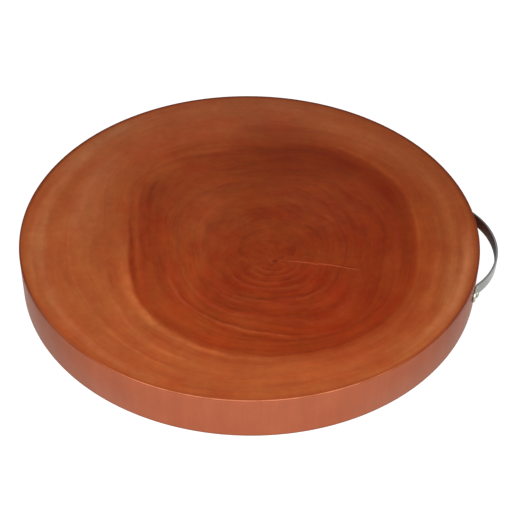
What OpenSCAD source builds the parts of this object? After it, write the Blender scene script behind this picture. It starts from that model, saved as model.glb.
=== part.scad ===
// Round end-grain chopping block with a bent steel strap handle on its rim.
// Millimetres. The origin is the middle of the bottom face, +Z is up and +X points to the handle.

/* [Block] */
// Diameter of the block
block_d = 380; // [300:5:460]
// Thickness of the block
block_h = 40; // [30:1:60]
// Radius of the eased edge round each face
edge_r = 1.5; // [0.5:0.1:4]

/* [Handle] */
// Width of the steel strap, measured up the rim
strap_w = 10.5; // [8:0.5:16]
// Thickness of the steel strap
strap_t = 2; // [1.4:0.1:3]
// Bevel on the strap's long edges
strap_bevel = 0.25; // [0.1:0.05:0.5]
// Clear space for fingers between the rim and the middle of the bow
grip_gap = 15.5; // [12:0.5:35]
// Radius of the bow, at the middle of the strap's thickness
bow_r = 65.5; // [50:0.5:90]
// Radius of the bend from the bow into a foot, at the middle of the strap's thickness
bend_r = 4; // [2.5:0.5:8]
// How far a bend swells past the faces and edges of the straight strap
bend_swell = 0.02; // [0.01:0.01:0.1]
// Distance along a foot from the middle of its screw to its rounded tip
foot_tip = 8.5; // [6:0.5:15]

/* [Screws] */
// Diameter of a screw's head
head_d = 7; // [6:0.25:9]
// Height of the domed head
head_h = 1.8; // [1.5:0.1:3]
// Height of the straight wall under the dome
head_wall = 0.6; // [0.3:0.1:1]
// Diameter of the shank
shank_d = 3.2; // [2.5:0.1:4]
// Length of a screw below its head
screw_l = 20; // [14:1:30]
// Length of the tapered point
point_l = 4.5; // [3:0.5:6]
// Diameter of the blunt end of the point
point_d = 0.6; // [0.4:0.1:1]
// Width of a slot of the cross recess
recess_w = 0.9; // [0.6:0.1:1.2]
// Length across the cross recess at its mouth
recess_d = 3.8; // [3:0.1:4.5]
// Length across the cross recess at its floor
recess_floor_d = 1.6; // [1.2:0.1:2]
// Depth of the cross recess from the top of the dome
recess_depth = 1.2; // [0.8:0.1:1.4]

/* [Fits] */
// Gap between a foot and the rim
seat_gap = 0.2; // [0.1:0.05:0.5]
// Gap between a screw's head and its foot
head_gap = 0.1; // [0.05:0.05:0.3]
// Space between the edge of a screw's head and the start of the bend
head_margin = 0.3; // [0.1:0.1:2]
// Clearance round the shank in the hole of a foot
hole_clear = 0.4; // [0.2:0.05:0.8]
// Clearance round the shank in its pilot bore
pilot_clear = 0.1; // [0.05:0.05:0.3]
// Depth of pilot bore left beyond the screw's point
pilot_spare = 2; // [1:0.5:6]

/* [Hidden] */
$fn = 180;

block_r = block_d / 2;
mid_h = block_h / 2;

// Distances from the block's axis
foot_r = block_r + seat_gap + strap_t / 2;
head_seat_r = foot_r + strap_t / 2 + head_gap;
pilot_end_r = head_seat_r - screw_l - pilot_spare;

// The bow is an arc about a point on the X axis
bow_x = block_r + grip_gap + strap_t / 2 - bow_r;

// A bend's middle lies one bend radius outside the circle of the feet and the circle of the bow
foot_reach = foot_r + bend_r;
bow_reach = bow_r + bend_r;
bend_az = acos((foot_reach ^ 2 + bow_x ^ 2 - bow_reach ^ 2) / (2 * foot_reach * bow_x));
bend_x = foot_reach * cos(bend_az);
bend_y = foot_reach * sin(bend_az);
bow_half = atan2(bend_y, bend_x - bow_x);

// A bend laps over the ends of the bow and the foot, until half of its swelling is used up
bend_lap = sqrt(bend_swell / bend_r) * 180 / PI;

// Angle about the block's axis for a length along a foot
function foot_angle(length) = length / foot_r * 180 / PI;

hole_az = bend_az + foot_angle(head_d / 2 + head_margin);
tip_az = hole_az + foot_angle(foot_tip);
round_az = tip_az - foot_angle(strap_w / 2);

// The dome is part of a sphere that meets the top of the head's wall
dome_h = head_h - head_wall;
dome_r = ((head_d / 2) ^ 2 + dome_h ^ 2) / (2 * dome_h);

// Cuts run past the faces that they open by this much
past = 1;

// Turns +Z to point straight out from the block's axis at an azimuth, at mid-thickness
module outward(azimuth) {
    rotate([0, 0, azimuth])
        translate([0, 0, mid_h])
            rotate([0, 90, 0])
                children();
}

// Cross-section of the strap about the middle of its thickness and width
module strap_section(swell) {
    t = strap_t / 2 + swell;
    w = strap_w / 2 + swell;
    b = strap_bevel;
    polygon([
        [t, -w + b], [t, w - b], [t - b, w], [-t + b, w],
        [-t, w - b], [-t, -w + b], [-t + b, -w], [t - b, -w]
    ]);
}

// A stretch of strap bent to radius r about +Z, between two angles
module strap_arc(r, from, to, swell = 0) {
    rotate([0, 0, from])
        rotate_extrude(angle = to - from)
            translate([r, 0])
                strap_section(swell);
}

// What a round punch leaves off the end of a foot
module tip_offcut() {
    outward(round_az)
        translate([0, 0, foot_r - strap_t])
            difference() {
                translate([-strap_w, 0, 0])
                    cube([2 * strap_w, strap_w, 2 * strap_t]);
                translate([0, 0, -past])
                    cylinder(d = strap_w, h = 2 * (strap_t + past));
            }
}

// The rear bend and the foot that it leads to, with the foot's end rounded
module bend_and_foot() {
    translate([bend_x, bend_y, mid_h])
        strap_arc(bend_r, 180 + bend_az - bend_lap, 180 + bow_half + bend_lap, bend_swell);
    difference() {
        translate([0, 0, mid_h])
            strap_arc(foot_r, bend_az, tip_az + foot_angle(past));
        tip_offcut();
    }
}

// Half of the block's section: a slab whose two outer corners are rounded
module block_section() {
    square([block_r - edge_r, block_h]);
    translate([0, edge_r])
        square([block_r, block_h - 2 * edge_r]);
    for (h = [edge_r, block_h - edge_r])
        translate([block_r - edge_r, h])
            circle(r = edge_r);
}

// Blind bore for a screw, with the cone that the drill leaves at its end
module pilot_bore() {
    d = shank_d + 2 * pilot_clear;
    translate([0, 0, pilot_end_r + d / 2])
        cylinder(d = d, h = block_r + past - pilot_end_r - d / 2);
    translate([0, 0, pilot_end_r])
        cylinder(d1 = 0, d2 = d, h = d / 2);
}

// Domed pan head that stands on the plane z = 0
module pan_head() {
    intersection() {
        cylinder(d = head_d, h = head_h + past);
        translate([0, 0, head_h - dome_r])
            sphere(r = dome_r);
    }
}

// Cross recess that narrows towards its floor
module cross_recess() {
    depth = recess_depth + past;
    slope = (recess_d - recess_floor_d) / recess_depth;
    translate([0, 0, head_h - recess_depth])
        intersection() {
            cylinder(d1 = recess_floor_d, d2 = recess_floor_d + slope * depth, h = depth);
            for (turn = [0, 90])
                rotate([0, 0, turn])
                    translate([-recess_d, -recess_w / 2, 0])
                        cube([2 * recess_d, recess_w, depth]);
        }
}

// A pan-head wood screw pointing down, with its head on the plane z = 0
module screw() {
    difference() {
        union() {
            pan_head();
            translate([0, 0, point_l - screw_l])
                cylinder(d = shank_d, h = screw_l - point_l);
            translate([0, 0, -screw_l])
                cylinder(d1 = point_d, d2 = shank_d, h = point_l);
        }
        cross_recess();
    }
}

// Slice of trunk with a pilot bore behind each foot
module block() {
    color([0.66, 0.34, 0.19])
        difference() {
            rotate_extrude()
                block_section();
            for (side = [-1, 1])
                outward(side * hole_az)
                    pilot_bore();
        }
}

// One strap: a bow, two bends and two feet that follow the rim
module handle() {
    color([0.64, 0.64, 0.65])
        difference() {
            union() {
                translate([bow_x, 0, mid_h])
                    strap_arc(bow_r, -bow_half, bow_half);
                for (side = [0, 1])
                    mirror([0, side, 0])
                        bend_and_foot();
            }
            for (side = [-1, 1])
                outward(side * hole_az)
                    translate([0, 0, foot_r - strap_t])
                        cylinder(d = shank_d + 2 * hole_clear, h = 2 * strap_t);
        }
}

// The screw at one end of the handle: side is -1 in front and 1 at the rear
module placed_screw(side) {
    color([0.78, 0.78, 0.74])
        outward(side * hole_az)
            translate([0, 0, head_seat_r])
                screw();
}

module front_screw() {
    placed_screw(-1);
}

module rear_screw() {
    placed_screw(1);
}

block();
handle();
front_screw();
rear_screw();
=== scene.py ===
import math

import bpy
import numpy as np
from mathutils import Matrix, Vector


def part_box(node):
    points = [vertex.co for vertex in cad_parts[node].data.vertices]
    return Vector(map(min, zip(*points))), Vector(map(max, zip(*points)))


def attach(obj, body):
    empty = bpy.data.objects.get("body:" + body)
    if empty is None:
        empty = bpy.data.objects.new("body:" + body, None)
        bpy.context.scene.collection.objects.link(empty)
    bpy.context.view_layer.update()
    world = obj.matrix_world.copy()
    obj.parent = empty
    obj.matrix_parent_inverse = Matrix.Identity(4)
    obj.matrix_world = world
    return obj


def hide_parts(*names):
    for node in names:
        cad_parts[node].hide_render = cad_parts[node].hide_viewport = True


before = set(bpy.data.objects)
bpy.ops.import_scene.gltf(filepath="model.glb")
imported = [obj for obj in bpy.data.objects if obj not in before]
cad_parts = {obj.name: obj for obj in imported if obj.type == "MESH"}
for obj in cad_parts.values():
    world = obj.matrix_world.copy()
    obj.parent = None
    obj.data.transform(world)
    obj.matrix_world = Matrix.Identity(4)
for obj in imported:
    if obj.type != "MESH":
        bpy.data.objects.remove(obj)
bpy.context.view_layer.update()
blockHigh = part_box("block")[1]
rimRadius = blockHigh.x
topZ = blockHigh.z
mm = 0.001
print("frame loaded: block", round(2 * rimRadius, 4), "m across and", round(topZ, 4), "m thick")


# Colours are written as screen values, and sockets take them as linear light
def paint(red, green, blue):
    def channel(v):
        v /= 255
        return v / 12.92 if v <= 0.04045 else ((v + 0.055) / 1.055) ** 2.4
    return (channel(red), channel(green), channel(blue), 1.0)


# A thin wrapper, so that a node tree reads as a list of steps
class Nodes:
    def __init__(self, tree):
        self.tree = tree
        tree.nodes.clear()

    def add(self, kind, **settings):
        node = self.tree.nodes.new(kind)
        for name, value in settings.items():
            setattr(node, name, value)
        return node

    def feed(self, socket, value):
        if isinstance(value, bpy.types.NodeSocket):
            self.tree.links.new(value, socket)
        else:
            socket.default_value = value

    def calc(self, operation, *values):
        node = self.add("ShaderNodeMath", operation=operation)
        for socket, value in zip(node.inputs, values):
            self.feed(socket, value)
        return node.outputs[0]

    def length(self, x, y):
        node = self.add("ShaderNodeVectorMath", operation="LENGTH")
        self.feed(node.inputs[0], self.combine(x, y))
        return node.outputs["Value"]

    def moved(self, place, offset):
        node = self.add("ShaderNodeVectorMath", operation="ADD")
        self.feed(node.inputs[0], place)
        self.feed(node.inputs[1], offset)
        return node.outputs["Vector"]

    # runs from one value to another as the first input goes from low to high
    def span(self, value, low, high, toLow=0.0, toHigh=1.0, kind="SMOOTHSTEP"):
        node = self.add("ShaderNodeMapRange", interpolation_type=kind)
        for socket, item in zip(node.inputs, (value, low, high, toLow, toHigh)):
            self.feed(socket, item)
        return node.outputs["Result"]

    def mix(self, factor, a, b, blend="MIX"):
        node = self.add("ShaderNodeMix", data_type="RGBA", blend_type=blend)
        self.feed(node.inputs[0], factor)
        self.feed(node.inputs[6], a)  # inputs 6 and 7 are the two colours
        self.feed(node.inputs[7], b)
        return node.outputs[2]

    # makes a colour lighter or darker
    def shade(self, colour, tone):
        return self.mix(1.0, colour, self.combine(tone, tone, tone), "MULTIPLY")

    def noise(self, place, scale=1.0, detail=2.0, rough=0.5):
        node = self.add("ShaderNodeTexNoise")
        self.feed(node.inputs["Vector"], place)
        self.feed(node.inputs["Scale"], scale)
        self.feed(node.inputs["Detail"], detail)
        self.feed(node.inputs["Roughness"], rough)
        return node.outputs[0]

    def combine(self, x, y, z=0.0):
        node = self.add("ShaderNodeCombineXYZ")
        for socket, value in zip(node.inputs, (x, y, z)):
            self.feed(socket, value)
        return node.outputs[0]

    def split(self, value):
        node = self.add("ShaderNodeSeparateXYZ")
        self.feed(node.inputs[0], value)
        return node.outputs

    def grain(self, shader, height, strength, distance):
        bump = self.add("ShaderNodeBump")
        bump.inputs["Strength"].default_value = strength
        bump.inputs["Distance"].default_value = distance
        self.feed(bump.inputs["Height"], height)
        self.feed(shader.inputs["Normal"], bump.outputs[0])

    def use(self, group, **values):
        node = self.add("ShaderNodeGroup", node_tree=group)
        for name, value in values.items():
            self.feed(node.inputs[name], value)
        return node.outputs


def newGroup(name, inputs, outputs):
    tree = bpy.data.node_groups.new(name, "ShaderNodeTree")
    nodes = Nodes(tree)
    for title, kind, value in inputs:
        socket = tree.interface.new_socket(title, in_out="INPUT", socket_type="NodeSocket" + kind)
        socket.default_value = value
    for title, kind in outputs:
        tree.interface.new_socket(title, in_out="OUTPUT", socket_type="NodeSocket" + kind)
    return tree, nodes, nodes.add("NodeGroupInput").outputs, nodes.add("NodeGroupOutput").inputs


def newMaterial(name):
    material = bpy.data.materials.new(name)
    material.use_nodes = True
    nodes = Nodes(material.node_tree)
    output = nodes.add("ShaderNodeOutputMaterial")
    return material, nodes, output.inputs["Surface"]


def meshObject(name, points, faces, smooth=True):
    mesh = bpy.data.meshes.new(name)
    mesh.from_pydata(points, [], faces)
    mesh.update()
    mesh.validate()
    if smooth:
        mesh.shade_smooth()
    else:
        mesh.shade_flat()
    piece = bpy.data.objects.new(name, mesh)
    bpy.context.scene.collection.objects.link(piece)
    return piece


# The slice of trunk. Lengths are in metres, angles in degrees, and ring positions run from 0 at the
# pith to 1 at the rim.
trunk = {
    "pith": (0.0207, -0.0388),
    "heartAt": 0.685,  # ring position where the heartwood ends
    # out-of-round growth: waves round the trunk, size, turn
    "bulges": [(1, 0.0522, 12), (2, 0.034, -160), (3, 0.0149, 69), (4, 0.0209, 175), (6, 0.005, 70)],
    "bulgesFull": 0.45,  # ring position where the bulges have their full size
    # rings pushed out: angle and its spread, ring position and its spread, size
    "swell": (-58, 30, 0.57, 0.12, 0.08),
    # small waves that each ring shares with its neighbours: count, size, drift outwards, turn
    "waves": [(5, 0.0035, 1.3, 40), (9, 0.0022, -2.1, 200), (16, 0.0012, 3.4, 70)],
    "wavesFrom": 0.03,  # ring positions where the waves start and where they have their full size
    "wavesFull": 0.35,
    "arris": 1.5 * mm,  # radius of the eased edges
    "arrisSteps": 6,
    "wallRows": 12,
    "segments": 288,
    "crowding": 5,  # how many extra segments the drying check gets for each even one
    "crowdTurn": -15,  # where they are closest
    "crowdSpread": 0.10,  # radians
    "topRings": 220,
    "topGather": 0.25,  # how far the top's loops gather near the pith
    "bottomRings": 40,
    "reliefEnd": 0.985,  # ring position where the relief dies out before the rim
    "pitDepth": 0.35 * mm,
    "pitWidth": 1.5 * mm,
    "crackFrom": (0.0320, -0.0388),
    "crackTo": (0.0900, -0.0485),
    "crackSag": 1.6 * mm,
    "crackWidth": 0.45 * mm,
    "crackDepth": 0.35 * mm,
    "crackFades": (0.12, 0.80),  # shares of its length where it is fully open and where it starts to close
    # worn rings in front of the pith: ring position, width
    "ripples": [(0.074, 0.010), (0.113, 0.011), (0.157, 0.012), (0.201, 0.013), (0.29, 0.017),
                (0.396, 0.02)],
    "rippleDepth": 0.03 * mm,
    "rippleTurn": -88,
    "rippleSpread": 75,
    "toolMarks": 0.012 * mm,
    "toolMarkPace": 95,  # radians of their wave from pith to rim
}
pith = np.array(trunk["pith"])
pithX, pithY = trunk["pith"]
arcFull = 0.35  # share of a half arc over which a mark keeps its full strength


# Rings are circles whose middles slide from the pith to the block's axis as they grow
def ringPlace(t, angle, reach):
    t = np.asarray(t)[..., None]
    turn = np.stack([np.cos(angle), np.sin(angle)], -1)
    return pith * (1 - t) + t * reach * turn


def smoothStep(low, high, x):
    x = np.clip((x - low) / (high - low), 0, 1)
    return x * x * (3 - 2 * x)


# How far a ring is pushed out by the trunk's uneven growth, at an angle about its own middle
def heartShape(angle):
    waves = [size * np.cos(k * angle - math.radians(turn)) for k, size, turn in trunk["bulges"]]
    return sum(waves) / trunk["heartAt"]


def ringWaves(t, angle):
    waves = [size * np.sin(k * angle + 2 * math.pi * drift * t + math.radians(turn))
             for k, size, drift, turn in trunk["waves"]]
    return sum(waves) * smoothStep(trunk["wavesFrom"], trunk["wavesFull"], t)


# Which growth ring lies at round position t. The material works out the same with nodes.
def woodRing(t, angle):
    heartAt = trunk["heartAt"]
    shape = heartShape(angle)
    edge = heartAt * (1 + shape)
    inner = t / (1 + shape * smoothStep(0, trunk["bulgesFull"], t))
    outer = heartAt + (t - edge) * (1 - heartAt) / (1 - edge)
    turn, half, at, width, size = trunk["swell"]
    away = (angle - math.radians(turn) + math.pi) % (2 * math.pi) - math.pi
    swell = size * np.exp(-(away / math.radians(half)) ** 2 - ((t - at) / width) ** 2)
    return np.where(t < edge, inner, outer) - swell + ringWaves(t, angle)


# Angles of the mesh's segments, closer together along the drying check
def segmentAngles():
    samples = np.linspace(-math.pi, math.pi, 20001)
    away = (samples - math.radians(trunk["crowdTurn"])) / trunk["crowdSpread"]
    crowd = 1 + trunk["crowding"] * np.exp(-away ** 2)
    total = np.concatenate([[0], np.cumsum((crowd[1:] + crowd[:-1]) / 2)])
    return np.interp(np.arange(trunk["segments"]) / trunk["segments"] * total[-1], total, samples)


# Pairs of radius and height down the rim, from one face's flat to the other's
def wallProfile(flat):
    arris = trunk["arris"]
    turns = [math.radians(90 * k / trunk["arrisSteps"]) for k in range(1, trunk["arrisSteps"] + 1)]
    rows = trunk["wallRows"]
    wall = [(flat + arris * math.sin(a), topZ - arris + arris * math.cos(a)) for a in turns]
    wall += [(rimRadius, topZ - arris - (topZ - 2 * arris) * k / rows) for k in range(1, rows + 1)]
    wall += [(flat + arris * math.cos(a), arris - arris * math.sin(a)) for a in turns]
    return wall


def buildBlock():
    count = trunk["segments"]
    angle = segmentAngles()
    steps = np.arange(1, trunk["topRings"] + 1) / trunk["topRings"]
    gather = trunk["topGather"]
    tGrid, angleGrid = np.meshgrid((1 - gather) * steps + gather * steps ** 2, angle, indexing="ij")
    flat = rimRadius - trunk["arris"]
    place = ringPlace(tGrid, angleGrid, flat)
    depth = topRelief(place, tGrid, angleGrid) * (1 - smoothStep(trunk["reliefEnd"], 1.0, tGrid))

    points = [(pithX, pithY, topZ - trunk["pitDepth"])]
    for ring, dips in zip(place, depth):
        points += [(x, y, topZ - dip) for (x, y), dip in zip(ring, dips)]
    wall = wallProfile(flat)
    for radius, z in wall:
        points += [(radius * math.cos(a), radius * math.sin(a), z) for a in angle]
    for k in range(1, trunk["bottomRings"]):
        t = 1 - k / trunk["bottomRings"]
        points += [(x, y, 0.0) for x, y in ringPlace(np.full(count, t), angle, flat)]
    points.append((pithX, pithY, 0.0))

    # a fan round the pith on each face, and bands of four-sided faces between them
    following = [(k + 1) % count for k in range(count)]
    loops = trunk["topRings"] + len(wall) + trunk["bottomRings"] - 1
    faces = [(0, 1 + k, 1 + after) for k, after in enumerate(following)]
    for j in range(loops - 1):
        a = 1 + j * count
        b = a + count
        faces += [(a + k, b + k, b + after, a + after) for k, after in enumerate(following)]
    a = 1 + (loops - 1) * count
    last = len(points) - 1
    faces += [(a + k, last, a + after) for k, after in enumerate(following)]
    piece = meshObject("choppingBlock", points, faces)

    # materials: 0 end grain, 1 eased edges, 2 side grain
    for face in piece.data.polygons:
        step = face.index // count - trunk["topRings"]
        if 0 <= step < len(wall):
            straight = 0 <= step - trunk["arrisSteps"] < trunk["wallRows"]
            face.material_index = 2 if straight else 1
    return piece


# How far the top face lies below its highest level
def topRelief(place, t, angle):
    x, y = place[..., 0], place[..., 1]
    fromPith = np.hypot(x - pithX, y - pithY)
    depth = trunk["pitDepth"] * np.exp(-(fromPith / trunk["pitWidth"]) ** 2)

    (startX, startY), (endX, endY) = trunk["crackFrom"], trunk["crackTo"]
    runX, runY = endX - startX, endY - startY
    length = math.hypot(runX, runY)
    part = ((x - startX) * runX + (y - startY) * runY) / length ** 2
    across = ((y - startY) * runX - (x - startX) * runY) / length
    across = across - trunk["crackSag"] * 4 * part * (1 - part)
    openFrom, openTo = trunk["crackFades"]
    ends = smoothStep(0, openFrom, part) * (1 - smoothStep(openTo, 1.0, part))
    depth = depth + trunk["crackDepth"] * ends * np.exp(-(across / trunk["crackWidth"]) ** 2)

    ring = woodRing(t, angle)
    turn = np.degrees(angle) - trunk["rippleTurn"]
    away = np.abs((turn + 180) % 360 - 180) / trunk["rippleSpread"]
    window = 1 - smoothStep(arcFull, 1.0, away)
    for at, width in trunk["ripples"]:
        depth = depth + trunk["rippleDepth"] * window * np.exp(-((ring - at) / width) ** 2)
    marks = 1 + np.sin(ring * trunk["toolMarkPace"])
    return depth + trunk["toolMarks"] * marks * smoothStep(0.05, 0.2, t)


# Where a point lies among the growth rings
def makeRingGroup():
    tree, n, given, out = newGroup(
        "growthRings",
        [("Position", "Vector", (0, 0, 0)), ("Ragged", "Float", 0.006)],
        [("Ring", "Float"), ("Angle", "Float"), ("Direction", "Vector"), ("Round", "Float")])
    # t is that of the one circle that runs through this point
    x, y = n.split(given["Position"])[:2]
    px = n.calc("SUBTRACT", x, pithX)
    py = n.calc("SUBTRACT", y, pithY)
    spread = rimRadius ** 2 - pithX ** 2 - pithY ** 2
    toPith = n.calc("ADD", n.calc("MULTIPLY", px, pithX), n.calc("MULTIPLY", py, pithY))
    squared = n.calc("ADD", n.calc("MULTIPLY", px, px), n.calc("MULTIPLY", py, py))
    root = n.calc("ADD", n.calc("MULTIPLY", toPith, toPith), n.calc("MULTIPLY", squared, spread))
    root = n.calc("SQRT", root)
    t = n.calc("MAXIMUM", n.calc("DIVIDE", n.calc("ADD", toPith, root), spread), 0.0005)
    back = n.calc("SUBTRACT", 1.0, t)
    reach = n.calc("MULTIPLY", t, rimRadius)
    dx = n.calc("DIVIDE", n.calc("SUBTRACT", x, n.calc("MULTIPLY", back, pithX)), reach)
    dy = n.calc("DIVIDE", n.calc("SUBTRACT", y, n.calc("MULTIPLY", back, pithY)), reach)
    angle = n.calc("ARCTAN2", dy, dx)

    # the trunk's uneven growth
    heartAt = trunk["heartAt"]
    shape = 0.0
    for k, size, turn in trunk["bulges"]:
        wave = n.calc("COSINE", n.calc("MULTIPLY_ADD", angle, float(k), -math.radians(turn)))
        shape = n.calc("MULTIPLY_ADD", wave, size / heartAt, shape)
    edge = n.calc("MULTIPLY_ADD", shape, heartAt, heartAt)
    grown = n.span(t, 0.0, trunk["bulgesFull"])
    inner = n.calc("DIVIDE", t, n.calc("MULTIPLY_ADD", shape, grown, 1.0))
    part = n.calc("DIVIDE", n.calc("SUBTRACT", t, edge), n.calc("SUBTRACT", 1.0, edge))
    outer = n.calc("MULTIPLY_ADD", part, 1 - heartAt, heartAt)
    outside = n.calc("GREATER_THAN", t, edge)
    ring = n.calc("MULTIPLY_ADD", n.calc("SUBTRACT", outer, inner), outside, inner)

    turn, half, at, width, size = trunk["swell"]
    away = n.calc("WRAP", n.calc("SUBTRACT", angle, math.radians(turn)), math.pi, -math.pi)
    away = n.calc("DIVIDE", away, math.radians(half))
    off = n.calc("DIVIDE", n.calc("SUBTRACT", t, at), width)
    swell = n.calc("ADD", n.calc("MULTIPLY", away, away), n.calc("MULTIPLY", off, off))
    swell = n.calc("EXPONENT", n.calc("MULTIPLY", swell, -1.0))
    ring = n.calc("MULTIPLY_ADD", swell, -size, ring)

    waves = 0.0
    for k, size, drift, turn in trunk["waves"]:
        phase = n.calc("MULTIPLY_ADD", angle, float(k), math.radians(turn))
        phase = n.calc("MULTIPLY_ADD", t, 2 * math.pi * drift, phase)
        waves = n.calc("MULTIPLY_ADD", n.calc("SINE", phase), size, waves)
    ring = n.calc("MULTIPLY_ADD", waves, n.span(t, trunk["wavesFrom"], trunk["wavesFull"]), ring)

    ragged = n.calc("SUBTRACT", n.noise(given["Position"], 45.0, 5.0, 0.62), 0.5)
    calmer = n.span(t, 0.0, 0.25, 0.25, 1.0)  # the small rings round the pith are cleaner
    ragged = n.calc("MULTIPLY", n.calc("MULTIPLY", ragged, given["Ragged"]), calmer)
    n.feed(out["Ring"], n.calc("ADD", ring, ragged))
    n.feed(out["Angle"], angle)
    n.feed(out["Direction"], n.combine(dx, dy))
    n.feed(out["Round"], t)
    return tree


# A mask for one growth ring, or for a stretch of it: a soft line at a ring position
def makeLineGroup():
    tree, n, given, out = newGroup(
        "ringLine",
        [("Ring", "Float", 0), ("Angle", "Float", 0), ("At", "Float", 0.5), ("Width", "Float", 0.01),
         ("Middle", "Float", 0), ("Spread", "Float", 180), ("Drift", "Float", 0)],
        [("Mask", "Float")])
    turn = n.calc("SUBTRACT", given["Angle"], n.calc("RADIANS", given["Middle"]))
    turn = n.calc("DIVIDE", n.calc("WRAP", turn, math.pi, -math.pi), n.calc("RADIANS", given["Spread"]))
    at = n.calc("MULTIPLY_ADD", turn, given["Drift"], given["At"])
    away = n.calc("DIVIDE", n.calc("SUBTRACT", given["Ring"], at), given["Width"])
    line = n.calc("EXPONENT", n.calc("MULTIPLY", n.calc("MULTIPLY", away, away), -1.0))
    window = n.span(n.calc("ABSOLUTE", turn), arcFull, 1.0, 1.0, 0.0)
    n.feed(out["Mask"], n.calc("MULTIPLY", line, window))
    return tree


# Streaks that follow the rings: noise that changes quickly from ring to ring and slowly along one
def makeStreakGroup():
    tree, n, given, out = newGroup(
        "ringStreaks",
        [("Ring", "Float", 0), ("Direction", "Vector", (1, 0, 0)), ("Rings", "Float", 20),
         ("Around", "Float", 1.0), ("Detail", "Float", 2.0), ("Shift", "Float", 0)],
        [("Streak", "Float")])
    x, y = n.split(given["Direction"])[:2]
    depth = n.calc("ADD", n.calc("MULTIPLY", given["Ring"], given["Rings"]), given["Shift"])
    place = n.combine(n.calc("MULTIPLY", x, given["Around"]), n.calc("MULTIPLY", y, given["Around"]), depth)
    value = n.noise(place, 1.0, given["Detail"], 0.55)
    n.feed(out["Streak"], n.calc("MULTIPLY", n.calc("SUBTRACT", value, 0.5), 2.0))
    return tree


# Zones that darken outwards ring by ring and end in a sharp step, each fading in and out round the trunk
def makeStepGroup():
    tree, n, given, out = newGroup(
        "ringSteps",
        [("Ring", "Float", 0), ("Direction", "Vector", (1, 0, 0)), ("Rings", "Float", 12),
         ("Around", "Float", 1.0), ("Shift", "Float", 0)],
        [("Step", "Float")])
    x, y = n.split(given["Direction"])[:2]
    x = n.calc("MULTIPLY", x, given["Around"])
    y = n.calc("MULTIPLY", y, given["Around"])
    depth = n.calc("MULTIPLY_ADD", given["Ring"], given["Rings"], given["Shift"])
    drift = n.noise(n.combine(x, y, n.calc("MULTIPLY", depth, 0.35)), 1.0, 1.0, 0.5)
    phase = n.calc("MULTIPLY_ADD", drift, 3.5, depth)
    part = n.calc("FRACT", phase)
    count = n.calc("MULTIPLY", n.calc("FLOOR", phase), 7.31)  # gives each zone its own noise
    saw = n.calc("MULTIPLY", n.calc("MULTIPLY", part, part), n.span(part, 0.93, 1.0, 1.0, 0.0))
    strength = n.span(n.noise(n.combine(x, y, count), 1.6, 1.0, 0.5), 0.36, 0.66)
    n.feed(out["Step"], n.calc("MULTIPLY", saw, strength))
    return tree


ringGroup = makeRingGroup()
lineGroup = makeLineGroup()
streakGroup = makeStreakGroup()
stepGroup = makeStepGroup()
print("ring groups made")


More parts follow.
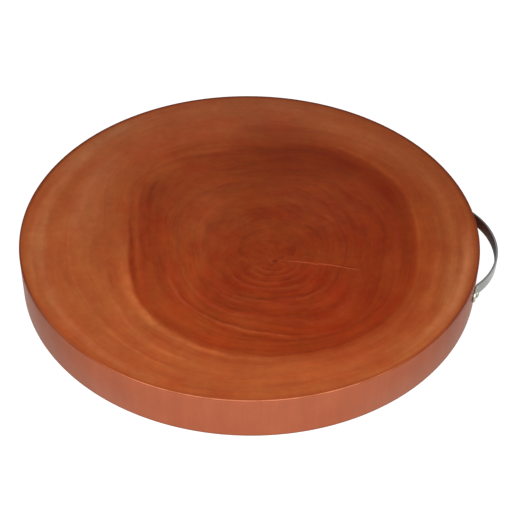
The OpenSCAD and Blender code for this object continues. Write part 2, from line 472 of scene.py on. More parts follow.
# End grain of both faces. A tint has a ring position, a width, the middle and half of its arc in
# degrees, how far it drifts outwards in that half arc, a colour and a strength.
endGrain = {
    "heart": paint(137, 50, 17),
    "heartTints": [
        (0.35, 0.14, 150, 60, 0, paint(147, 64, 27), 0.6),
        (0.50, 0.20, 188, 60, 0, paint(149, 60, 24), 0.8),
        (0.45, 0.30, 95, 80, 0, paint(130, 52, 19), 0.8),
        (0.54, 0.15, -110, 48, 0, paint(162, 67, 26), 0.7),
        (0.42, 0.25, -60, 60, 0, paint(141, 47, 14), 0.8),
        (0.625, 0.045, 35, 70, 0, paint(120, 40, 9), 0.85),
        (0.56, 0.09, 78, 35, 0, paint(116, 42, 12), 0.7),
        (0.60, 0.07, 132, 26, 0, paint(140, 60, 25), 0.5),
        (0.20, 0.16, -85, 70, 0, paint(141, 48, 16), 0.5),
        (0.67, 0.06, 120, 30, 0, paint(162, 77, 36), 0.75),
        (0.40, 0.15, 138, 36, 0, paint(154, 70, 34), 0.5),
        (0.34, 0.09, 52, 36, 0, paint(144, 64, 30), 0.5),
        (0.53, 0.06, 18, 16, 0, paint(118, 40, 12), 0.4),
        (0.10, 0.06, 60, 50, 0, paint(124, 42, 14), 0.35),
    ],
    "sapInner": paint(148, 63, 25),
    "sapOuter": paint(152, 74, 35),
    "sapTints": [
        (0.78, 0.30, 188, 75, 0, paint(166, 85, 43), 0.85),
        (0.85, 0.25, -90, 75, 0, paint(169, 82, 41), 0.85),
        (0.76, 0.08, 42, 45, 0, paint(136, 58, 20), 0.6),
        (0.90, 0.12, 60, 55, 0, paint(146, 72, 36), 0.7),
        (0.75, 0.06, 88, 25, 0, paint(120, 50, 18), 0.7),
        (0.73, 0.09, 117, 30, 0, paint(162, 76, 38), 0.75),
        (0.82, 0.09, 95, 80, 0, paint(164, 82, 46), 0.55),
        (0.93, 0.07, 105, 55, 0, paint(158, 84, 50), 0.6),
        (0.775, 0.050, -52, 26, 0, paint(146, 58, 25), 0.6),
        (0.942, 0.030, -19, 26, 0, paint(188, 116, 72), 0.7),
        (0.941, 0.016, -162, 62, 0.020, paint(180, 104, 64), 0.5),
        (0.955, 0.011, 176, 38, 0.035, paint(180, 104, 64), 0.4),
        (0.845, 0.022, 160, 28, 0, paint(176, 102, 62), 0.55),
        (0.900, 0.022, -27, 30, -0.045, paint(182, 108, 62), 0.5),
        (0.868, 0.028, 4, 34, 0.010, paint(172, 100, 54), 0.35),
        (0.800, 0.012, -10, 30, 0.006, paint(168, 88, 46), 0.3),
        (0.975, 0.016, -48, 26, 0, paint(176, 98, 54), 0.35),
        (0.800, 0.030, -20, 20, 0, paint(178, 90, 44), 0.45),
        (0.770, 0.060, 80, 20, 0, paint(128, 50, 20), 0.4),
        (0.800, 0.050, 160, 24, 0, paint(168, 96, 58), 0.45),
        (0.950, 0.030, 140, 26, 0, paint(168, 104, 68), 0.5),
        (0.745, 0.035, 165, 38, 0, paint(146, 68, 30), 0.35),
    ],
    # growth rings that stand out by themselves
    "lineTints": [
        (0.700, 0.014, -126, 48, 0.004, paint(190, 98, 52), 0.8),
        (0.738, 0.014, -135, 50, 0.006, paint(154, 66, 26), 0.5),
        (0.783, 0.007, -128, 28, 0.022, paint(184, 98, 54), 0.5),
        (0.855, 0.006, -140, 60, 0.008, paint(178, 94, 50), 0.45),
        (0.667, 0.011, -172, 30, 0, paint(116, 40, 12), 0.6),
        (0.620, 0.014, 148, 22, 0.02, paint(112, 38, 10), 0.15),
        (0.660, 0.014, -128, 45, 0, paint(132, 44, 12), 0.1),
        (0.665, 0.016, -60, 60, 0, paint(132, 42, 12), 0.25),
        (0.700, 0.010, 25, 60, 0, paint(160, 74, 32), 0.4),
        (0.508, 0.008, -112, 56, 0, paint(180, 82, 46), 0.5),
        (0.494, 0.008, -100, 60, 0, paint(112, 34, 9), 0.3),
        (0.540, 0.010, -90, 40, 0.01, paint(112, 32, 8), 0.35),
        (0.430, 0.007, -130, 50, 0, paint(172, 76, 38), 0.4),
        (0.345, 0.010, 140, 35, 0, paint(160, 72, 36), 0.5),
        (0.140, 0.012, 180, 50, 0, paint(108, 34, 10), 0.35),
        (0.325, 0.014, 160, 44, 0, paint(164, 76, 40), 0.3),
        (0.440, 0.030, -172, 40, 0, paint(118, 42, 14), 0.3),
        (0.640, 0.013, -172, 30, 0, paint(170, 78, 42), 0.35),
        (0.330, 0.008, 20, 45, 0, paint(156, 66, 34), 0.35),
        (0.590, 0.012, -4, 38, 0, paint(154, 60, 30), 0.35),
        (0.237, 0.006, 32, 22, 0, paint(96, 30, 8), 0.7),
        (0.595, 0.011, 147, 11, 0, paint(104, 34, 9), 0.45),
        (0.745, 0.007, -157, 9, 0, paint(124, 46, 18), 0.35),
    ],
    "pale": paint(176, 80, 46),
    "dark": paint(92, 26, 8),
    "rimBand": paint(120, 46, 18),
    "rimLine": paint(102, 36, 14),
    "edgeSoft": 0.012,  # half the breadth of the heartwood's edge where it is crisp
    "edgeFade": [(102, 55, 0.045), (-75, 62, 0.055), (150, 36, 0.10)],  # middle, half arc, extra breadth
    "rippleShadingZone": (0.33, 0.17, -98, 72),  # where the ripples' painted shade and light lie: ring position, width, middle, half arc
    "rippleShadeAndLight": [(0.0, "dark", 0.28), (1.3, "pale", 0.2)],  # painted shade and light on each ripple: offset in ripple widths, colour, strength
    "ragged": 0.022,  # how far a ring strays from its line
    # streaks along the rings: how many to the rim, changes round the trunk, detail, shift
    "zones": (9.0, 1.6, 3.0, 0.0),
    "fineRings": (46.0, 3.0, 3.0, 7.3),
    "hairlines": (150.0, 6.0, 1.0, 3.1),
    "rippleStreaks": (34.0, 1.9, 2.0, 5.0),
    "dyeStreaks": (24.0, 1.8, 3.0, 11.0),
    "steps": [(14.0, 0.9, 2.0, -0.14), (36.0, 1.8, 9.0, -0.10)],  # how many, changes round, shift, strength
    "zoneStrength": 0.25,
    "fineStrength": 0.11,
    "hairStrength": 0.045,
    "patchStrength": 0.33,
    "speckStrength": 0.22,
    "sapCalm": 0.65,  # how strongly the rings show in the sapwood
    "calmFrom": 0.66,  # ring positions between which they calm down to that
    "calmTo": 0.76,
    "brightness": 1.02,
    "poreStrength": 0.16,
    "roughness": 0.42,
    "gloss": 0.04,
}


# The end grain's ring group, and short ways to use the groups that build on it
class EndGrainRings:
    def __init__(self, n, place):
        self.n = n
        found = n.use(ringGroup, Position=place, Ragged=endGrain["ragged"])
        self.ring, self.angle, self.direction, self.round = list(found)

    def line(self, at, width, middle=0, half=400, drift=0):
        return self.n.use(lineGroup, Ring=self.ring, Angle=self.angle, At=at, Width=width, Middle=middle,
                          Spread=half, Drift=drift)["Mask"]

    # a mask for a stretch of the arc: one line so broad that it covers every ring
    def arc(self, middle, half):
        return self.line(0.7, 9.0, middle, half)

    def streak(self, count, around, detail, shift):
        return self.n.use(streakGroup, Ring=self.ring, Direction=self.direction, Rings=count, Around=around,
                          Detail=detail, Shift=shift)["Streak"]

    def step(self, count, around, shift):
        return self.n.use(stepGroup, Ring=self.ring, Direction=self.direction, Rings=count, Around=around,
                          Shift=shift)["Step"]

    def lay(self, colour, tints, breaks=None):
        for at, width, middle, half, drift, tint, strength in tints:
            mask = self.n.calc("MULTIPLY", self.line(at, width, middle, half, drift), strength)
            if breaks is not None:
                mask = self.n.calc("MULTIPLY", mask, breaks)
            colour = self.n.mix(mask, colour, tint)
        return colour


# Heartwood and sapwood with their tints, and the rings that stand out
def zoneColour(n, place, rings):
    look = endGrain
    # the edge of the heartwood, crisp in some places and fading in others
    soft = look["edgeSoft"]
    for middle, half, extra in look["edgeFade"]:
        soft = n.calc("MULTIPLY_ADD", rings.arc(middle, half), extra, soft)
    low = n.calc("SUBTRACT", trunk["heartAt"], soft)
    high = n.calc("ADD", trunk["heartAt"], soft)
    heart = rings.lay(look["heart"], look["heartTints"])
    sap = n.mix(n.span(rings.ring, 0.70, 0.93), look["sapInner"], look["sapOuter"])
    sap = rings.lay(sap, look["sapTints"])
    colour = n.mix(n.span(rings.ring, low, high), heart, sap)
    breaks = n.span(n.noise(place, 75.0, 3.0, 0.6), 0.34, 0.6, 0.35, 1.0)
    colour = rings.lay(colour, look["lineTints"], breaks)

    # ripples in front of the pith: short broken dark and pale lines, painted shade and light of their relief
    window = rings.line(*look["rippleShadingZone"])
    ripple = rings.streak(*look["rippleStreaks"])
    rippleShade = n.calc("MULTIPLY", window, n.span(ripple, 0.02, 0.30, 0.0, 0.18))
    rippleLight = n.calc("MULTIPLY", window, n.span(ripple, -0.30, -0.06, 0.16, 0.0))
    colour = n.mix(rippleShade, colour, look["dark"])
    colour = n.mix(rippleLight, colour, look["pale"])
    for at, width in trunk["ripples"]:
        for shift, name, strength in look["rippleShadeAndLight"]:
            mask = rings.line(at + shift * width, 0.6 * width, trunk["rippleTurn"], trunk["rippleSpread"])
            mask = n.calc("MULTIPLY", mask, breaks)
            colour = n.mix(n.calc("MULTIPLY", mask, strength), colour, look[name])
    return colour


# Pith: a dark spot of painted shade in its pit, with a paler lip of painted light on its left
def addPith(n, colour, x, y):
    dx = n.calc("SUBTRACT", x, pithX)
    dy = n.calc("SUBTRACT", y, pithY)
    spot = n.length(dx, dy)
    lip = n.length(n.calc("ADD", dx, 1.6 * mm), dy)
    arc = n.calc("MULTIPLY", n.span(lip, 1.6 * mm, 2.4 * mm), n.span(lip, 2.5 * mm, 3.6 * mm, 1.0, 0.0))
    arc = n.calc("MULTIPLY", arc, n.span(dx, -3.0 * mm, -0.5 * mm, 0.35, 0.0))
    # painted light on the pit's left lip
    colour = n.mix(arc, colour, endGrain["pale"])
    # painted shade in the pit
    return n.mix(n.span(spot, 0.7 * mm, 2.6 * mm, 0.6, 0.0), colour, endGrain["dark"])


# The long drying check that runs out from the pith: a pale lip of painted glint beside a dark slit of
# painted shade
def addCrack(n, colour, x, y, patch, speck):
    (startX, startY), (endX, endY) = trunk["crackFrom"], trunk["crackTo"]
    length = math.hypot(endX - startX, endY - startY)
    ux, uy = (endX - startX) / length, (endY - startY) / length
    px = n.calc("SUBTRACT", x, startX)
    py = n.calc("SUBTRACT", y, startY)
    along = n.calc("ADD", n.calc("MULTIPLY", px, ux), n.calc("MULTIPLY", py, uy))
    along = n.calc("DIVIDE", along, length)
    across = n.calc("SUBTRACT", n.calc("MULTIPLY", py, ux), n.calc("MULTIPLY", px, uy))
    bow = n.calc("MULTIPLY", along, n.calc("SUBTRACT", 1.0, along))
    across = n.calc("ADD", across, n.calc("MULTIPLY", bow, -4 * trunk["crackSag"]))
    # it strays a little from side to side
    across = n.calc("MULTIPLY_ADD", n.calc("SUBTRACT", speck, 0.5), 1.6 * mm, across)
    across = n.calc("MULTIPLY_ADD", patch, 3.0 * mm, across)
    inside = n.calc("MULTIPLY", n.span(along, -0.14, 0.16), n.span(along, 0.85, 1.02, 1.0, 0.0))
    # painted glint along the lip
    lip = n.span(n.calc("ABSOLUTE", across), 0.25 * mm, 1.1 * mm, 0.8, 0.0)
    colour = n.mix(n.calc("MULTIPLY", inside, lip), colour, endGrain["pale"])
    # painted shade along one side of the slit, stronger in its outer half
    fromSlit = n.calc("ABSOLUTE", n.calc("SUBTRACT", across, 1.0 * mm))
    slit = n.span(fromSlit, 0.2 * mm, 0.8 * mm, 0.7, 0.0)
    deeper = n.calc("MULTIPLY", inside, n.span(along, 0.45, 0.80, 0.15, 1.0))
    return n.mix(n.calc("MULTIPLY", slit, deeper), colour, endGrain["dark"])


def makeEndGrain():
    look = endGrain
    material, n, surface = newMaterial("endGrain")
    place = n.add("ShaderNodeTexCoord").outputs["Object"]
    x, y = n.split(place)[:2]
    rings = EndGrainRings(n, place)
    patch = n.calc("SUBTRACT", n.noise(place, 34.0, 3.0, 0.6), 0.5)
    speck = n.noise(place, 170.0, 3.0, 0.6)
    colour = zoneColour(n, place, rings)

    # lighter and darker zones, finer rings and hairlines
    fine = rings.streak(*look["fineRings"])
    hair = rings.streak(*look["hairlines"])
    tone = n.calc("MULTIPLY", rings.streak(*look["zones"]), look["zoneStrength"])
    for count, around, shift, strength in look["steps"]:
        tone = n.calc("MULTIPLY_ADD", rings.step(count, around, shift), strength, tone)
    tone = n.calc("MULTIPLY_ADD", fine, look["fineStrength"], tone)
    tone = n.calc("MULTIPLY_ADD", hair, look["hairStrength"], tone)
    calm = n.span(rings.ring, look["calmFrom"], look["calmTo"], 1.0, look["sapCalm"])
    tone = n.calc("MULTIPLY_ADD", tone, calm, look["brightness"])
    tone = n.calc("MULTIPLY_ADD", patch, look["patchStrength"], tone)
    tone = n.calc("MULTIPLY_ADD", n.calc("SUBTRACT", speck, 0.5), look["speckStrength"], tone)
    colour = n.shade(colour, tone)

    # the dye leans to brown in some patches and to red in others, and darker rings are redder
    lean = n.calc("SUBTRACT", n.noise(n.moved(place, (3.0, 1.0, 0.0)), 38.0, 4.0, 0.62), 0.5)
    lean = n.calc("MULTIPLY_ADD", rings.streak(*look["dyeStreaks"]), 0.36, lean)
    less = n.span(rings.ring, look["calmFrom"], look["calmTo"], 0.75, 0.5)
    green = n.calc("MULTIPLY_ADD", lean, less, 1.0)
    green = n.calc("MULTIPLY_ADD", n.calc("SUBTRACT", tone, look["brightness"]), 0.5, green)
    colour = n.mix(1.0, colour, n.combine(1.0, green, green), "MULTIPLY")

    # a dark line along the rim, broad at the back on the right and faint in front
    wide = n.use(lineGroup, Ring=rings.round, Angle=rings.angle, At=1.0, Width=0.024, Middle=35, Spread=75)
    colour = n.mix(n.calc("MULTIPLY", wide["Mask"], 0.5), colour, look["rimBand"])
    rim = n.calc("MULTIPLY", n.span(rings.round, 0.976, 0.996), n.calc("MULTIPLY_ADD", patch, 0.8, 0.9))
    rim = n.calc("MULTIPLY", rim, n.span(y, -0.1 * rimRadius, 0.3 * rimRadius, 0.2, 1.0))
    colour = n.mix(rim, colour, look["rimLine"])

    colour = addPith(n, colour, x, y)
    colour = addCrack(n, colour, x, y, patch, speck)
    pores = n.span(n.noise(place, 1500.0, 1.0, 0.6), 0.60, 0.75)  # fine dark flecks
    pores = n.calc("MULTIPLY", pores, look["poreStrength"])
    colour = n.mix(pores, colour, look["dark"])

    shader = n.add("ShaderNodeBsdfPrincipled")
    n.feed(shader.inputs["Base Color"], colour)
    rough = look["roughness"]
    n.feed(shader.inputs["Roughness"], n.span(fine, -0.1, 0.1, rough - 0.05, rough + 0.05))
    shader.inputs["Specular IOR Level"].default_value = look["gloss"]
    n.grain(shader, n.calc("SUBTRACT", n.calc("ADD", fine, hair), pores), 0.5, 0.06 * mm)
    n.feed(surface, shader.outputs[0])
    return material


# Side grain of the turned rim, and its eased edges: colours in front, on the left, on the right and behind
sideGrain = {
    "rim": [paint(192, 105, 73), paint(181, 98, 64), paint(182, 97, 63), paint(186, 98, 64)],
    "rimRoughness": 0.42,
    "rimGloss": 0.06,
    "edge": [paint(150, 68, 35), paint(158, 80, 45), paint(146, 68, 39), paint(112, 46, 26)],
    "edgeRoughness": 0.5,
    "edgeGloss": 0.02,
    "endBand": paint(120, 50, 28),  # darker band under the top edge at both ends
    "endBandReach": 0.28,  # share of the thickness
    "paleReflection": paint(196, 134, 112),  # painted pale reflection, low on the rim, to each side of the front
    "edgeHighlight": paint(220, 136, 100),  # painted highlight along the front edge
}


# The wood of the rim: colours that change round it, a darker band under the top edge at both ends, a painted
# pale reflection low on the sides, a painted highlight on the front edge, and fine fibres
def makeRimGroup():
    plain = (1, 1, 1, 1)
    tree, n, given, out = newGroup(
        "rimWood",
        [("Position", "Vector", (0, 0, 0)), ("Front", "Color", plain), ("Left", "Color", plain),
         ("Right", "Color", plain), ("Back", "Color", plain)],
        [("Colour", "Color"), ("Fibres", "Float")])
    look = sideGrain
    x, y, z = n.split(given["Position"])
    # fibres run up the rim, so the streaks are long in Z
    stretched = n.combine(x, y, n.calc("MULTIPLY", z, 0.06))
    broad = n.noise(stretched, 90.0, 3.0, 0.55)
    fine = n.noise(stretched, 700.0, 2.0, 0.6)
    cloud = n.noise(given["Position"], 40.0, 3.0, 0.6)

    # a ramp over a stretch of X or Y, which is given in shares of the rim's radius
    def across(value, low, high, toLow=0.0, toHigh=1.0):
        return n.span(value, low * rimRadius, high * rimRadius, toLow, toHigh)

    colour = n.mix(across(x, -0.5, 0.5), given["Left"], given["Right"])
    colour = n.mix(across(y, -0.85, -0.55, 1.0, 0.0), colour, given["Front"])
    colour = n.mix(across(y, 0.0, 0.4), colour, given["Back"])
    aside = n.calc("ABSOLUTE", x)
    # a darker band under the top edge, towards both ends
    endBandMask = n.span(z, (1 - look["endBandReach"]) * topZ, topZ, 0.0, 0.78)
    colour = n.mix(n.calc("MULTIPLY", across(aside, 0.74, 0.97), endBandMask), colour, look["endBand"])
    # painted pale reflection, strongest at the bottom of the rim
    paleReflection = n.span(z, 0.0, 0.8 * topZ, 0.45, 0.0)
    colour = n.mix(n.calc("MULTIPLY", across(aside, 0.30, 0.65), paleReflection), colour, look["paleReflection"])

    # painted highlight: the lower half of the top arris is painted pale in front, more in some places than
    # in others
    lowEdge = n.calc("MULTIPLY", n.span(z, topZ - 1.5 * mm, topZ - 0.9 * mm),
                     n.span(z, topZ - 0.6 * mm, topZ - 0.25 * mm, 1.0, 0.0))
    frontHighlight = n.calc("MULTIPLY", across(y, -0.95, -0.72, 1.0, 0.0), n.span(cloud, 0.3, 0.6, 0.3, 0.85))
    colour = n.mix(n.calc("MULTIPLY", lowEdge, frontHighlight), colour, look["edgeHighlight"])

    fibres = n.span(fine, 0.2, 0.8, -0.04, 0.04, "LINEAR")
    tone = n.calc("ADD", n.span(broad, 0.2, 0.8, 0.94, 1.06, "LINEAR"), fibres)
    tone = n.calc("MULTIPLY_ADD", n.calc("SUBTRACT", cloud, 0.5), 0.24, tone)
    n.feed(out["Colour"], n.shade(colour, tone))
    n.feed(out["Fibres"], fine)
    return tree


rimGroup = makeRimGroup()


def makeSideGrain(name, part):
    material, n, surface = newMaterial(name)
    place = n.add("ShaderNodeTexCoord").outputs["Object"]
    front, left, right, back = sideGrain[part]
    wood = n.use(rimGroup, Position=place, Front=front, Left=left, Right=right, Back=back)
    shader = n.add("ShaderNodeBsdfPrincipled")
    n.feed(shader.inputs["Base Color"], wood["Colour"])
    rough = sideGrain[part + "Roughness"]
    n.feed(shader.inputs["Roughness"], n.span(wood["Fibres"], 0.3, 0.7, rough - 0.04, rough + 0.04))
    shader.inputs["Specular IOR Level"].default_value = sideGrain[part + "Gloss"]
    n.grain(shader, wood["Fibres"], 0.3, 0.03 * mm)
    n.feed(surface, shader.outputs[0])
    return material


block = buildBlock()
block.data.materials.append(makeEndGrain())
block.data.materials.append(makeSideGrain("easedEdge", "edge"))
block.data.materials.append(makeSideGrain("sideGrain", "rim"))
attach(block, "root")
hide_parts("block")
print("block built,", len(block.data.polygons), "faces")


# The strap: lengths run along its middle line from the middle of the bow, widths run up
strap = {
    "width": 10.5 * mm,
    "thickness": 2.0 * mm,
    "edge": 0.5 * mm,  # radius of its rounded edges
    "gripGap": 15.5 * mm,
    "bowRadius": 65.5 * mm,
    "bendRadius": 4.0 * mm,
    "seatGap": 0.2 * mm,
    "holeAfterBend": 3.8 * mm,
    "tipAfterHole": 8.5 * mm,
    "holeRadius": 2.0 * mm,
    # how finely it is meshed
    "bowPoints": 70,
    "bendPoints": 13,
    "widthPoints": 10,
    "footPoints": 9,
    "tipPoints": 33,
    "rayPoints": 5,
    # each finish: colour in front, colour behind, sheen at a glancing angle, roughness and how much
    # of its grain is lengthwise brushing
    "finishes": [
        ("strapFace", paint(138, 139, 137), paint(138, 139, 137), 1.0, 0.30, 1.0),
        # the inner face's colours are painted reflections, dark in front and paler brown behind
        ("strapInsidePaintedReflection", paint(66, 60, 57), paint(140, 104, 95), 0.52, 0.42, 0.6),
        # the cut edges' colours are painted dark reflections, lighter in front and darker behind
        ("strapCutPaintedReflection", paint(122, 121, 119), paint(96, 86, 82), 0.70, 0.45, 0.3),
        # painted light: the feet are coloured paler than the bow's face
        ("strapFootPaintedLight", paint(172, 175, 162), paint(172, 175, 162), 1.0, 0.38, 0.6),
    ],
    "screw": ("screwSteel", paint(150, 153, 142), paint(150, 153, 142), 1.0, 0.42, 0.0),
    "behindAt": 35 * mm,  # how far back from the middle the colour behind has taken over
}


# Follows the strap's middle line: a bow, a bend and a foot, mirrored for the front half
def strapPath():
    footRadius = rimRadius + strap["seatGap"] + strap["thickness"] / 2
    bowX = rimRadius + strap["gripGap"] + strap["thickness"] / 2 - strap["bowRadius"]
    a = footRadius + strap["bendRadius"]
    b = strap["bowRadius"] + strap["bendRadius"]
    bendTurn = math.acos((a * a + bowX * bowX - b * b) / (2 * a * bowX))
    bendX = a * math.cos(bendTurn)
    bendY = a * math.sin(bendTurn)
    bowTurn = math.atan2(bendY, bendX - bowX)
    bowEnd = strap["bowRadius"] * bowTurn
    bendEnd = bowEnd + strap["bendRadius"] * (bowTurn - bendTurn)

    def place(length, lift, up):
        side = -1 if length < 0 else 1
        length = abs(length)
        if length <= bowEnd:
            turn = length / strap["bowRadius"]
            reach = strap["bowRadius"] + lift
            x, y = bowX + reach * math.cos(turn), reach * math.sin(turn)
        elif length <= bendEnd:
            turn = math.pi + bowTurn - (length - bowEnd) / strap["bendRadius"]
            reach = strap["bendRadius"] - lift
            x, y = bendX + reach * math.cos(turn), bendY + reach * math.sin(turn)
        else:
            turn = bendTurn + (length - bendEnd) / footRadius
            reach = footRadius + lift
            x, y = reach * math.cos(turn), reach * math.sin(turn)
        return x, side * y, topZ / 2 + up
    return place, bowEnd, bendEnd


def buildStrap():
    place, bowEnd, bendEnd = strapPath()
    half = strap["width"] / 2
    edge = strap["edge"]
    border = 1.5 * edge  # the outermost stretch of the strap, where the mesh is fine
    holeAt = bendEnd + strap["holeAfterBend"]
    tipAt = holeAt + strap["tipAfterHole"] - half  # middle of the rounded tip
    points, index, quads = [], {}, []

    # points closer than a thousandth of a millimetre are one
    def point(length, up):
        key = (round(length / (1e-3 * mm)), round(up / (1e-3 * mm)))
        if key not in index:
            index[key] = len(points)
            points.append((length, up))
        return index[key]

    # the strip between the two feet, with its columns close together at the rounded edges
    inward = [edge * (1 - math.cos(math.radians(a))) for a in (0, 22.5, 45, 67.5, 90)] + [border]
    columns = [-half + d for d in inward]
    columns += list(np.linspace(-half + border, half - border, strap["widthPoints"])[1:-1])
    columns += [half - d for d in reversed(inward)]
    rows = list(np.linspace(0, bowEnd, strap["bowPoints"]))
    rows += list(np.linspace(bowEnd, bendEnd, strap["bendPoints"])[1:])
    rows = [-s for s in reversed(rows[1:])] + rows
    for s0, s1 in zip(rows, rows[1:]):
        for v0, v1 in zip(columns, columns[1:]):
            quads.append((point(s0, v0), point(s1, v0), point(s1, v1), point(s0, v1)))

    # round each hole, rays run in from the outline of the foot to the hole
    footSide = list(np.linspace(bendEnd, tipAt, strap["footPoints"])[1:-1])
    tipTurns = np.linspace(-math.pi / 2, math.pi / 2, strap["tipPoints"])
    outline = [(bendEnd, v) for v in reversed(columns)]
    outline += [(s, -half) for s in footSide]
    outline += [(tipAt + half * math.cos(a), half * math.sin(a)) for a in tipTurns]
    outline += [(s, half) for s in reversed(footSide)]
    rays = []
    for s, v in outline:
        span = math.hypot(s - holeAt, v)
        inner = span - strap["holeRadius"] - border
        depths = inward + [border + inner * k / strap["rayPoints"] for k in range(1, strap["rayPoints"] + 1)]
        rays.append([(holeAt + (s - holeAt) * (1 - d / span), v * (1 - d / span)) for d in depths])
    for ray0, ray1 in zip(rays, rays[1:] + rays[:1]):
        for a, b, c, d in zip(ray0, ray1, ray1[1:], ray0[1:]):
            quads.append((point(*a), point(*b), point(*c), point(*d)))
            mirrored = [(-s, v) for s, v in (d, c, b, a)]
            quads.append(tuple(point(*p) for p in mirrored))

    # half of the strap's thickness at a point, less at the rounded edges
    def liftAt(length, up):
        over = abs(length) - tipAt
        inside = half - (math.hypot(over, up) if over > 0 else abs(up))
        drop = max(edge - max(inside, 0.0), 0.0)
        return strap["thickness"] / 2 - edge + math.sqrt(edge * edge - drop * drop)

    # the outer face, the inner face and the walls between their rims
    total = len(points)
    lifts = [liftAt(*p) for p in points]
    places = [place(s, lift, v) for (s, v), lift in zip(points, lifts)]
    places += [place(s, -lift, v) for (s, v), lift in zip(points, lifts)]
    sides = [side for quad in quads for side in zip(quad, quad[1:] + quad[:1])]
    known = set(sides)
    faces = list(quads) + [tuple(total + i for i in reversed(quad)) for quad in quads]
    faces += [(b, a, total + a, total + b) for a, b in sides if (b, a) not in known]
    piece = meshObject("strapHandle", places, faces)
    piece.data.set_sharp_from_angle(angle=math.radians(60))

    # materials: 0 outer face, 1 inner face, 2 cut edges, 3 feet
    full = strap["thickness"] / 2 - 0.15 * edge
    for face in piece.data.polygons:
        lengths = [points[i % total][0] for i in face.vertices]
        flat = min(lifts[i % total] for i in face.vertices) > full
        if min(abs(s) for s in lengths) > bendEnd - 1e-3 * mm:
            face.material_index = 3
        elif face.index < len(quads):
            face.material_index = 0 if flat or max(lengths) < 0 else 2
        else:
            face.material_index = 1 if flat and face.index < 2 * len(quads) else 2
    return piece


# Lengthwise brushing, fine grit and soft patches on steel
def makeBrushGroup():
    tree, n, given, out = newGroup(
        "brushedSteel",
        [("Position", "Vector", (0, 0, 0)), ("Brushing", "Float", 1.0)],
        [("Wear", "Float"), ("Patches", "Float")])
    x, y, z = n.split(given["Position"])
    # the brush's lines change quickly up the strap and slowly along it
    stretched = n.combine(n.calc("MULTIPLY", x, 0.02), n.calc("MULTIPLY", y, 0.02), z)
    lines = n.noise(stretched, 5000.0, 2.0, 0.6)
    grit = n.noise(given["Position"], 2600.0, 2.0, 0.6)
    n.feed(out["Wear"], n.calc("MULTIPLY_ADD", n.calc("SUBTRACT", lines, grit), given["Brushing"], grit))
    n.feed(out["Patches"], n.noise(given["Position"], 120.0, 2.0, 0.5))
    return tree


brushGroup = makeBrushGroup()


def makeSteel(name, front, behind, sheen, roughness, brushing):
    material, n, surface = newMaterial(name)
    place = n.add("ShaderNodeTexCoord").outputs["Object"]
    steel = n.use(brushGroup, Position=place, Brushing=brushing)
    # the colour runs from the front one to the one behind; on the inner face and the cut edges this is
    # painted reflection
    colour = n.mix(n.span(n.split(place)["Y"], 0.0, strap["behindAt"]), front, behind)
    colour = n.shade(colour, n.span(steel["Patches"], 0.3, 0.7, 0.94, 1.05, "LINEAR"))
    shader = n.add("ShaderNodeBsdfPrincipled")
    n.feed(shader.inputs["Base Color"], colour)
    shader.inputs["Metallic"].default_value = 1.0
    shader.inputs["Specular Tint"].default_value = (sheen, sheen, sheen, 1)
    n.feed(shader.inputs["Roughness"], n.span(steel["Wear"], 0.3, 0.7, roughness - 0.05, roughness + 0.05))
    n.grain(shader, steel["Wear"], 0.2, 0.01 * mm)
    n.feed(surface, shader.outputs[0])
    return material


handle = buildStrap()
for finish in strap["finishes"]:
    handle.data.materials.append(makeSteel(*finish))
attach(handle, "root")
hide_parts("handle")
screwSteel = makeSteel(*strap["screw"])
for node in ("front_screw", "rear_screw"):
    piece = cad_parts[node]
    piece.data.materials.clear()
    piece.data.materials.append(screwSteel)
print("handle built,", len(handle.data.polygons), "faces")


# Plain white floor and surroundings
studio = {
    "floorSize": 6.0,
    "floorDrop": 0.2 * mm,  # how far the floor lies under the block
    "floorShare": 0.25,  # how much of the floor's own shading the camera sees, over plain white
    "floorGlow": 1.25,
    "floorColour": (0.9, 0.9, 0.9, 1),
    "floorTone": 0.35,  # how pale the floor is for the light that it throws back on the block
    "fill": 0.30,
    "keyPower": 16.5,
    "keySize": 0.7,
    "keyPlace": (0.03, -0.88, 1.05),
}


# Is 1 for what the camera sees, by itself or in gloss or glass, and 0 for light on the object
def seenByCamera(n):
    path = n.add("ShaderNodeLightPath").outputs
    mirrored = n.calc("MAXIMUM", path["Is Glossy Ray"], path["Is Transmission Ray"])
    return n.calc("MAXIMUM", path["Is Camera Ray"], mirrored)


def blend(n, factor, a, b):
    both = n.add("ShaderNodeMixShader")
    n.feed(both.inputs[0], factor)
    n.feed(both.inputs[1], a.outputs[0])
    n.feed(both.inputs[2], b.outputs[0])
    return both


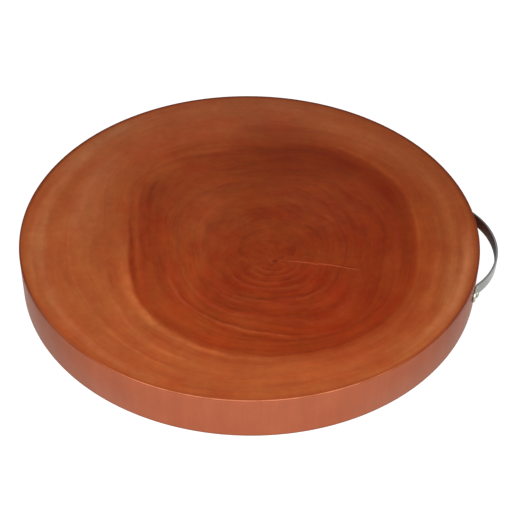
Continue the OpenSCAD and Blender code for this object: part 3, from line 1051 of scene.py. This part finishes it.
def makeFloor():
    half = studio["floorSize"] / 2
    corners = [(-half, -half, 0), (half, -half, 0), (half, half, 0), (-half, half, 0)]
    floor = meshObject("floor", corners, [(0, 1, 2, 3)], smooth=False)
    floor.location.z = -studio["floorDrop"]
    material, n, surface = newMaterial("floorWhite")
    glow = n.add("ShaderNodeEmission")
    glow.inputs["Strength"].default_value = studio["floorGlow"]
    matt = n.add("ShaderNodeBsdfDiffuse")
    matt.inputs["Color"].default_value = studio["floorColour"]
    dull = n.add("ShaderNodeBsdfDiffuse")
    tone = studio["floorTone"]
    dull.inputs["Color"].default_value = (tone, tone, tone, 1)
    lit = blend(n, studio["floorShare"], glow, matt)
    n.feed(surface, blend(n, seenByCamera(n), dull, lit).outputs[0])
    floor.data.materials.append(material)


def makeSurroundings():
    world = bpy.data.worlds.new("whiteRoom")
    bpy.context.scene.world = world
    world.use_nodes = True
    n = Nodes(world.node_tree)
    fill = n.add("ShaderNodeBackground")
    white = n.add("ShaderNodeBackground")
    for background, strength in ((fill, studio["fill"]), (white, 1.0)):
        background.inputs["Color"].default_value = (1, 1, 1, 1)
        background.inputs["Strength"].default_value = strength
    output = n.add("ShaderNodeOutputWorld")
    n.feed(output.inputs["Surface"], blend(n, seenByCamera(n), fill, white).outputs[0])


def makeKeyLight():
    lamp = bpy.data.lights.new("keyLight", "AREA")
    lamp.energy = studio["keyPower"]
    lamp.size = studio["keySize"]
    key = bpy.data.objects.new("keyLight", lamp)
    bpy.context.scene.collection.objects.link(key)
    key.location = studio["keyPlace"]
    aim = Vector((0, 0, topZ)) - key.location
    key.rotation_euler = aim.to_track_quat("-Z", "Y").to_euler()


makeFloor()
makeSurroundings()
makeKeyLight()
print("studio lit")


# The photograph's viewing angle
view = {
    "place": (0.0, -0.86690, 0.79343),
    "target": (0.005225, -0.032984, 0.04),
    "roll": 0.869,  # degrees
    "lens": 97.35,  # mm
    "sensorWidth": 36,  # mm
}


def makeCamera():
    camera = bpy.data.objects.new("camera", bpy.data.cameras.new("camera"))
    bpy.context.scene.collection.objects.link(camera)
    camera.data.lens = view["lens"]
    camera.data.sensor_width = view["sensorWidth"]
    place = Vector(view["place"])
    ahead = (Vector(view["target"]) - place).normalized()
    right = ahead.cross(Vector((0, 0, 1))).normalized()
    up = right.cross(ahead)
    roll = math.radians(view["roll"])
    tiltedRight = math.cos(roll) * right + math.sin(roll) * up
    tiltedUp = math.cos(roll) * up - math.sin(roll) * right
    turn = Matrix((tiltedRight, tiltedUp, -ahead)).transposed()
    camera.matrix_world = Matrix.Translation(place) @ turn.to_4x4()
    bpy.context.scene.camera = camera


makeCamera()
bpy.context.scene.view_settings.view_transform = "Standard"
print("camera placed")

print("scene ready")
